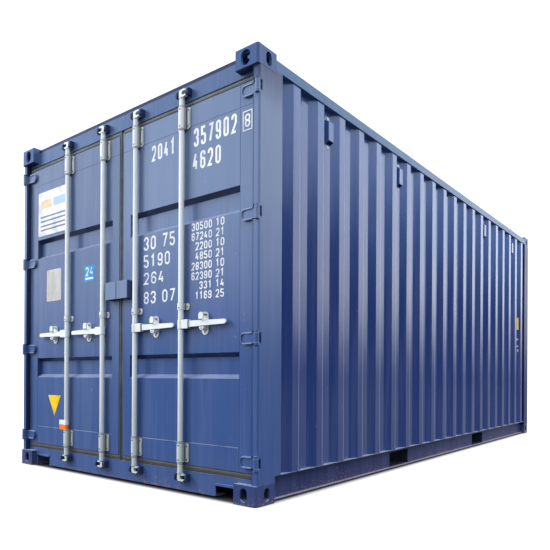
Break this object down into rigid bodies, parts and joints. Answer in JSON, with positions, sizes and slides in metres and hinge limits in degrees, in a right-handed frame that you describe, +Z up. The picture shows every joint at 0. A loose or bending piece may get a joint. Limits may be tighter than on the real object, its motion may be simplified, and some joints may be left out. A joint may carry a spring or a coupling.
{
  "type": "shipping container",
  "caption": "Steel dry freight container of twenty foot length, with corrugated walls, corner fittings, fork pockets and two hinged doors with lock rods and handles.",
  "frame": {"origin": "middle of the footprint, on the ground", "axes": "+X to the right seen from the doors, +Y along the length away from the doors, +Z up"},
  "size_m": [2.438, 6.058, 2.591],
  "materials": {
    "blue_paint": "satin",
    "galvanised_steel": "matte",
    "seal_rubber": "matte",
    "plywood": "matte"
  },
  "bodies": {
    "container_frame": {"door_end_bottom_fittings": "blue_paint", "door_end_top_fittings": "blue_paint", "front_end_bottom_fittings": "blue_paint", "front_end_top_fittings": "blue_paint", "door_sill": "blue_paint", "door_header": "blue_paint", "fork_pockets": "blue_paint", "cross_members": "blue_paint", "floor_boards": "plywood", "front_bottom_rail": "blue_paint", "front_top_rail": "blue_paint", "roof_panel": "blue_paint", "roof_end_plates": "blue_paint", "front_wall": "blue_paint", "right_door_post": "blue_paint", "right_front_post": "blue_paint", "right_bottom_side_rail": "blue_paint", "right_top_side_rail": "blue_paint", "right_side_wall": "blue_paint", "right_side_vents": "blue_paint", "right_hinge_pins": "blue_paint", "right_cam_keepers": "blue_paint", "left_door_post": "blue_paint", "left_front_post": "blue_paint", "left_bottom_side_rail": "blue_paint", "left_top_side_rail": "blue_paint", "left_side_wall": "blue_paint", "left_side_vents": "blue_paint", "left_hinge_pins": "blue_paint", "left_cam_keepers": "blue_paint"},
    "right_door": {"right_door_stiles": "blue_paint", "right_door_rails": "blue_paint", "right_door_panel": "blue_paint", "right_door_gasket": "seal_rubber", "right_hinge_blades": "blue_paint", "right_rod_brackets": "galvanised_steel", "right_handle_retainers": "galvanised_steel", "right_lock_box_half": "blue_paint"},
    "right_inner_rod": {"right_inner_lock_rod": "galvanised_steel"},
    "right_inner_handle": {"right_inner_handle": "galvanised_steel"},
    "right_outer_rod": {"right_outer_lock_rod": "galvanised_steel"},
    "right_outer_handle": {"right_outer_handle": "galvanised_steel"},
    "left_door": {"left_door_stiles": "blue_paint", "left_door_rails": "blue_paint", "left_door_panel": "blue_paint", "left_door_gasket": "seal_rubber", "left_hinge_blades": "blue_paint", "left_rod_brackets": "galvanised_steel", "left_handle_retainers": "galvanised_steel", "left_lock_box_half": "blue_paint"},
    "left_inner_rod": {"left_inner_lock_rod": "galvanised_steel"},
    "left_inner_handle": {"left_inner_handle": "galvanised_steel"},
    "left_outer_rod": {"left_outer_lock_rod": "galvanised_steel"},
    "left_outer_handle": {"left_outer_handle": "galvanised_steel"}
  },
  "joints": [
    {"name": "right_door_swing", "type": "hinge", "parent": "container_frame", "child": "right_door", "pos_m": [1.2045, -3.014, 1.2], "axis": [0, 0, 1], "range_deg": [0, 264]},
    {"name": "right_inner_rod_turn", "type": "hinge", "parent": "right_door", "child": "right_inner_rod", "pos_m": [0.176, -3.007, 1.2], "axis": [0, 0, 1], "range_deg": [-110, 0]},
    {"name": "right_inner_handle_lift", "type": "hinge", "parent": "right_inner_rod", "child": "right_inner_handle", "pos_m": [0.221, -3.007, 1.055], "axis": [0, -1, 0], "range_deg": [0, 10]},
    {"name": "right_outer_rod_turn", "type": "hinge", "parent": "right_door", "child": "right_outer_rod", "pos_m": [0.61, -3.007, 1.2], "axis": [0, 0, 1], "range_deg": [-110, 0]},
    {"name": "right_outer_handle_lift", "type": "hinge", "parent": "right_outer_rod", "child": "right_outer_handle", "pos_m": [0.655, -3.007, 1.055], "axis": [0, -1, 0], "range_deg": [0, 10]},
    {"name": "left_door_swing", "type": "hinge", "parent": "container_frame", "child": "left_door", "pos_m": [-1.2045, -3.014, 1.2], "axis": [0, 0, -1], "range_deg": [0, 264]},
    {"name": "left_inner_rod_turn", "type": "hinge", "parent": "left_door", "child": "left_inner_rod", "pos_m": [-0.176, -3.007, 1.2], "axis": [0, 0, -1], "range_deg": [-110, 0]},
    {"name": "left_inner_handle_lift", "type": "hinge", "parent": "left_inner_rod", "child": "left_inner_handle", "pos_m": [-0.221, -3.007, 1.055], "axis": [0, 1, 0], "range_deg": [0, 10]},
    {"name": "left_outer_rod_turn", "type": "hinge", "parent": "left_door", "child": "left_outer_rod", "pos_m": [-0.61, -3.007, 1.2], "axis": [0, 0, -1], "range_deg": [-110, 0]},
    {"name": "left_outer_handle_lift", "type": "hinge", "parent": "left_outer_rod", "child": "left_outer_handle", "pos_m": [-0.655, -3.007, 1.055], "axis": [0, 1, 0], "range_deg": [0, 10]}
  ]
}
